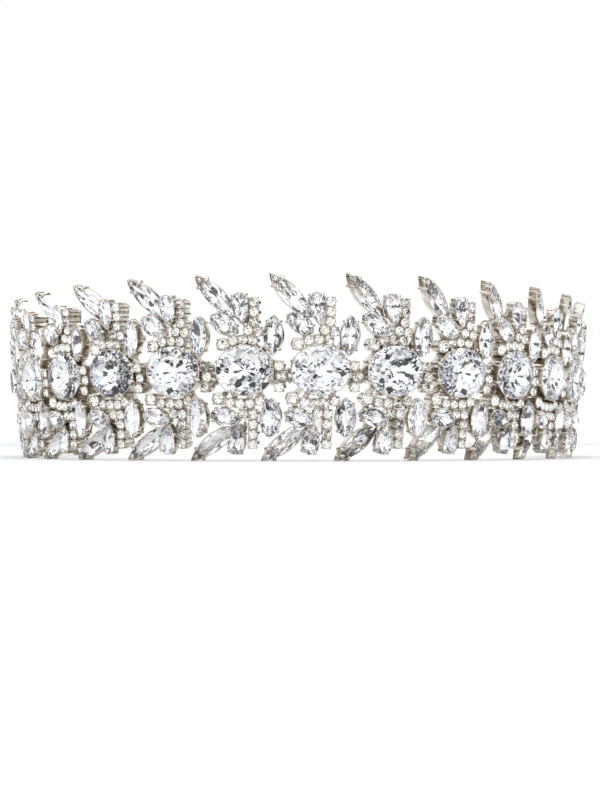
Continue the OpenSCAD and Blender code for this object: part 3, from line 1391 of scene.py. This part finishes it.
class Side(Enum):
    """The two sides of the band, with the sign of their places across."""

    LEFT = -1
    RIGHT = 1

    @property
    def label(self) -> str:
        """The side's word in the names of pieces."""
        return self.name.lower()

    @property
    def mirror(self) -> Matrix:
        """The transform from the right side to this one."""
        return Matrix.Diagonal((self.value, 1, 1, 1))


@dataclass
class Band:
    """The wire pair with its fine wrapping, its bindings and its two eyes."""

    ring: Ring
    finishes: Finishes
    wire_d: float = 1.7
    wire_gap: float = 2.3
    wire_depth: float = 2.25
    wire_drop: float = 1.3
    band_reach: float = 180.0
    dip_start: float = 158.0
    dip_angle: float = 18.0
    wrap_pitch: float = 1.3
    wrap_d: float = 0.86
    wrap_over: float = 0.07
    wrap_lean: float = 12.0
    core_r: float = 0.42
    core_overlap: float = 1.05
    binding_shift: float = 8.6
    binding_r: float = 0.22
    binding_steps: tuple[float, ...] = (-0.45, 0, 0.45)
    eye_d: float = 5.8
    eye_hole_d: float = 3.4
    eye_reach: float = 3.6
    eye_tail: float = 1.5
    tail_overlap: float = 1.3
    tail_middle: float = 0.62

    HALF_FROM = 0.05
    SMOOTH_UNDER = 80
    EYE_SMOOTH_UNDER = 50

    def wire_frame(self, along: float, level: float) -> Matrix:
        """Frame of one wire on the right side at a length along the ring, its X along the wire.

        Args:
            along: The length from the front's middle, up to the wire's end or past it.
            level: The wire's height over the middle of the pair.

        Returns:
            The frame, in metres.
        """
        drop = Matrix.Translation((0, 0, -self.wire_drop * MM))
        if along <= self.dip_start:
            return drop @ self.ring.frame(along) @ Matrix.Translation((0, self.wire_depth * MM, level * MM))
        radius = self.ring.end_radius
        sweep = (along - self.dip_start) / radius
        dip = drop @ self.ring.frame(self.dip_start) @ Matrix.Rotation(math.radians(self.dip_angle), 4, "Y")
        swing = Matrix.Translation((0, radius * MM, 0)) @ Matrix.Rotation(sweep, 4, "Z")
        return dip @ swing @ Matrix.Translation((0, (self.wire_depth - radius) * MM, level * MM))

    def build(self) -> None:
        """Builds and dresses the band."""
        self._wrapping()
        self._bindings()
        for side in Side:
            self._eye(side)

    def _settle(self, piece: bpy.types.Object, replaced: str) -> None:
        """Finishes a piece of wire.

        Args:
            piece: The piece.
            replaced: The solid that it replaces.
        """
        self.finishes.dress(piece, self.finishes.wire)
        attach(piece, "root")
        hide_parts(replaced)
        LOG.info("%s: %d faces", piece.name, len(piece.data.polygons))

    def _turn_model(self) -> bpy.types.Object:
        """Models one turn of the fine wire with its stretch of the core, along X.

        Returns:
            The model, in metres.
        """
        major = (self.wire_d - self.wrap_d) / 2 + self.wrap_over
        bpy.ops.mesh.primitive_torus_add(major_segments=12, minor_segments=6, major_radius=major * MM,
                                         minor_radius=self.wrap_d / 2 * MM,
                                         rotation=(0, math.radians(90 - self.wrap_lean), 0))
        turn = bpy.context.object
        bpy.ops.mesh.primitive_cylinder_add(vertices=8, radius=self.core_r * MM,
                                            depth=self.core_overlap * self.wrap_pitch * MM,
                                            rotation=(0, math.radians(90), 0))
        turn = Bench.join("turn_model", [turn, bpy.context.object])
        bpy.ops.object.transform_apply(location=False, rotation=True, scale=False)
        Bench.smooth(turn, self.SMOOTH_UNDER)
        return turn

    def _wrapping(self) -> None:
        """Winds the fine wire round the core of each of the two wires, one turn after another."""
        turn = self._turn_model()
        count = int(self.band_reach / self.wrap_pitch)
        for side in Side:
            turns = []
            for level in (-self.wire_gap / 2, self.wire_gap / 2):
                for number in range(count):
                    along = (number + 0.5) * self.wrap_pitch
                    turns.append(Bench.copy(turn, side.mirror @ self.wire_frame(along, level)))
            piece = Bench.join(f"{side.label}_wrapping", turns)
            if side is Side.LEFT:
                self._turn_out(piece)
            self._settle(piece, "band")
        Bench.discard(turn)

    @staticmethod
    def _turn_out(piece: bpy.types.Object) -> None:
        """Turns the faces of a mirrored piece outward again.

        Args:
            piece: The piece.
        """
        with Bench.edit(piece):
            bpy.ops.mesh.select_all(action="SELECT")
            bpy.ops.mesh.normals_make_consistent(inside=False)

    def _loop_model(self) -> bpy.types.Object:
        """Models one loop of wire round the wire pair, along X.

        Returns:
            The model, in metres.
        """
        loop_r = self.wire_d / 2 + self.binding_r
        bpy.ops.mesh.primitive_torus_add(major_segments=16, minor_segments=6, major_radius=loop_r * MM,
                                         minor_radius=self.binding_r * MM, rotation=(0, math.radians(90), 0))
        loop = bpy.context.object
        bpy.ops.object.transform_apply(location=False, rotation=True, scale=False)
        with Bench.edit(loop):
            for way in (-1, 1):
                Bench.pick_points(loop, lambda spot: spot.z * way > self.HALF_FROM * MM)
                bpy.ops.transform.translate(value=(0, 0, way * self.wire_gap / 2 * MM))
        Bench.smooth(loop, self.SMOOTH_UNDER)
        return loop

    def _bindings(self) -> None:
        """Binds the two wires together with three loops beside each cluster and where the arcs meet."""
        loop = self._loop_model()
        places = [self.ring.along(number) + self.binding_shift for number in self.ring.clusters]
        meets = (self.ring.front_length, self.ring.front_length + self.ring.side_length, self.dip_start)
        places += [side.value * meet for side in Side for meet in meets]
        loops = []
        for place in places:
            side = Side.LEFT if place < 0 else Side.RIGHT
            for step in self.binding_steps:
                loops.append(Bench.copy(loop, side.mirror @ self.wire_frame(abs(place) + step, 0)))
        piece = Bench.join("bindings", loops)
        self._turn_out(piece)
        self._settle(piece, "band")
        Bench.discard(loop)

    def _eye(self, side: Side) -> None:
        """Makes the bare wire eye at one end of the band, with its two short tails.

        Args:
            side: The side of the end.
        """
        thick = (self.eye_d - self.eye_hole_d) / 2
        major = (self.eye_d + self.eye_hole_d) / 4
        bpy.ops.mesh.primitive_torus_add(major_segments=40, minor_segments=12, major_radius=major * MM,
                                         minor_radius=thick / 2 * MM, rotation=(math.radians(90), 0, 0),
                                         location=(self.eye_reach * MM, 0, 0))
        parts = [bpy.context.object]
        for level in (-self.wire_gap / 2, self.wire_gap / 2):
            place = (self.eye_tail * self.tail_middle * MM, 0, level * MM)
            bpy.ops.mesh.primitive_cylinder_add(vertices=12, radius=thick / 2 * MM,
                                                depth=self.eye_tail * self.tail_overlap * MM,
                                                rotation=(0, math.radians(90), 0), location=place)
            parts.append(bpy.context.object)
        for part in parts:
            Bench.take(part)
            bpy.ops.object.transform_apply(location=True, rotation=True, scale=True)
            Bench.smooth(part, self.EYE_SMOOTH_UNDER)
        piece = Bench.join(f"{side.label}_eye_wire", parts)
        piece.data.transform(side.mirror @ self.wire_frame(self.band_reach, 0))
        if side is Side.LEFT:
            self._turn_out(piece)
        self._settle(piece, f"{side.label}_eye")


@dataclass(frozen=True)
class Lamp:
    """A square soft light that faces the headpiece."""

    name: str
    place: tuple[float, float, float]
    size: float
    power: float

    def hang(self) -> None:
        """Adds the light to the scene."""
        lamp = bpy.data.lights.new(self.name, "AREA")
        lamp.size = self.size * MM
        lamp.energy = self.power
        stand = bpy.data.objects.new(self.name, lamp)
        bpy.context.scene.collection.objects.link(stand)
        stand.location = Vector(self.place) * MM
        stand.rotation_euler = (-stand.location).to_track_quat("-Z", "Y").to_euler()


@dataclass(frozen=True)
class Tent:
    """The world round the headpiece: pale panels with dark strips between them, and a dark horizon.

    Two waves, one round the headpiece and one up and down, are added to lay out the panels. The camera
    itself sees plain white instead.
    """

    round_waves: float = 7
    round_start: float = 0.9
    level_waves: float = 9
    level_start: float = 1.0
    wave_scale: float = 0.25
    wave_middle: float = 0.5
    roof_from: float = 0.72
    horizon_rise: float = 0.04
    horizon_reach: float = 0.09

    PANELS = (
        (0.0, (1.2, 1.215, 1.24)),
        (0.5, (1.02, 1.035, 1.06)),
        (0.53, (0.84, 0.845, 0.86)),
        (0.79, (0.7, 0.705, 0.72)),
        (0.81, (0.04, 0.036, 0.032)),
        (1.0, (0.02, 0.018, 0.016)),
    )
    ROOF = (1.05, 1.065, 1.09)
    HORIZON = (0.1, 0.09, 0.085)
    SEEN = (1, 1, 1, 1)

    def build(self) -> None:
        """Builds the world and gives it to the scene."""
        world = bpy.data.worlds.new("studio")
        bpy.context.scene.world = world
        shader = Shader(world)
        way = shader.add("ShaderNodeSeparateXYZ", None,
                         {0: shader.add("ShaderNodeTexCoord").out("Generated")})
        round_turn = way.out("Y").angle_from(way.out("X"))
        round_wave = (round_turn * self.round_waves + self.round_start).sine()
        level_wave = (way.out("Z") * self.level_waves + self.level_start).sine()
        waves = round_wave + level_wave
        colour = shader.ramp(waves * self.wave_scale + self.wave_middle, self.PANELS)
        colour = shader.mix(way.out("Z").above(self.roof_from), colour, self.ROOF)
        rise = way.out("Z") - self.horizon_rise
        colour = shader.mix((rise * rise).above(self.horizon_reach ** 2), self.HORIZON, colour)
        seen = shader.add("ShaderNodeLightPath").out("Is Camera Ray")
        panels = shader.add("ShaderNodeBackground", None, {"Color": colour, "Strength": 1.0})
        plain = shader.add("ShaderNodeBackground", None, {"Color": self.SEEN, "Strength": 1.0})
        both = shader.add("ShaderNodeMixShader", None, {0: seen, 1: panels.out(), 2: plain.out()})
        shader.add("ShaderNodeOutputWorld", None, {"Surface": both.out()})


@dataclass(frozen=True)
class Studio:
    """The plain studio: floor, light and camera."""

    photo_height: int = 800
    sensor: float = 36.0
    focal_pixels: float = 1156.8
    camera_x: float = 18.9
    camera_distance: float = 346.6
    camera_height: float = 5.0
    camera_yaw: float = 2.9
    camera_pitch: float = 2.0
    clip_start: float = 1.0
    floor_size: float = 3000.0
    floor_grain: float = 40.0
    floor_roughness: float = 0.6
    light_bounces: int = 14

    FLOOR_DARK = (0.93, 0.93, 0.93)
    FLOOR_PALE = (0.95, 0.95, 0.95)
    LAMPS = (
        Lamp("key_light", place=(-320, -420, 520), size=420, power=0.9),
        Lamp("fill_light", place=(420, -300, 420), size=380, power=0.5),
        Lamp("top_light", place=(0, 60, 620), size=520, power=0.9),
    )

    def build(self) -> None:
        """Sets up the floor, the light and the camera."""
        self._floor()
        for lamp in self.LAMPS:
            lamp.hang()
        Tent().build()
        self._camera()
        bpy.context.scene.view_settings.view_transform = "Standard"
        cycles = bpy.context.scene.cycles
        cycles.max_bounces = cycles.glossy_bounces = cycles.transmission_bounces = self.light_bounces

    def _floor(self) -> None:
        """Lays a plain pale floor."""
        bpy.ops.mesh.primitive_plane_add(size=self.floor_size * MM, location=(0, 0, 0))
        floor = bpy.context.object
        floor.name = "floor"
        made = bpy.data.materials.new("pale_floor")
        shader = Shader(made)
        colour = shader.mix(shader.noise(self.floor_grain), self.FLOOR_DARK, self.FLOOR_PALE)
        shader.surface({"Base Color": colour, "Roughness": self.floor_roughness})
        floor.data.materials.append(made)

    def _camera(self) -> None:
        """Places the camera at the photograph's side, distance and focal length, just above the floor."""
        eye = bpy.data.cameras.new("camera")
        eye.sensor_width = self.sensor
        eye.lens = self.sensor * self.focal_pixels / self.photo_height
        stand = bpy.data.objects.new("camera", eye)
        bpy.context.scene.collection.objects.link(stand)
        stand.location = Vector((self.camera_x, -self.camera_distance, self.camera_height)) * MM
        stand.rotation_euler = (math.radians(90 + self.camera_pitch), 0, math.radians(self.camera_yaw))
        eye.clip_start = self.clip_start * MM
        bpy.context.scene.camera = stand


def main() -> None:
    """Builds the headpiece's looks in order."""
    logging.basicConfig(level=logging.INFO, format="%(message)s")
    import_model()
    ring = Ring()
    finishes = Finishes()
    Clusters(ring, StonePlan(), finishes).build()
    Band(ring, finishes).build()
    Studio().build()


if __name__ == "__main__":
    main()
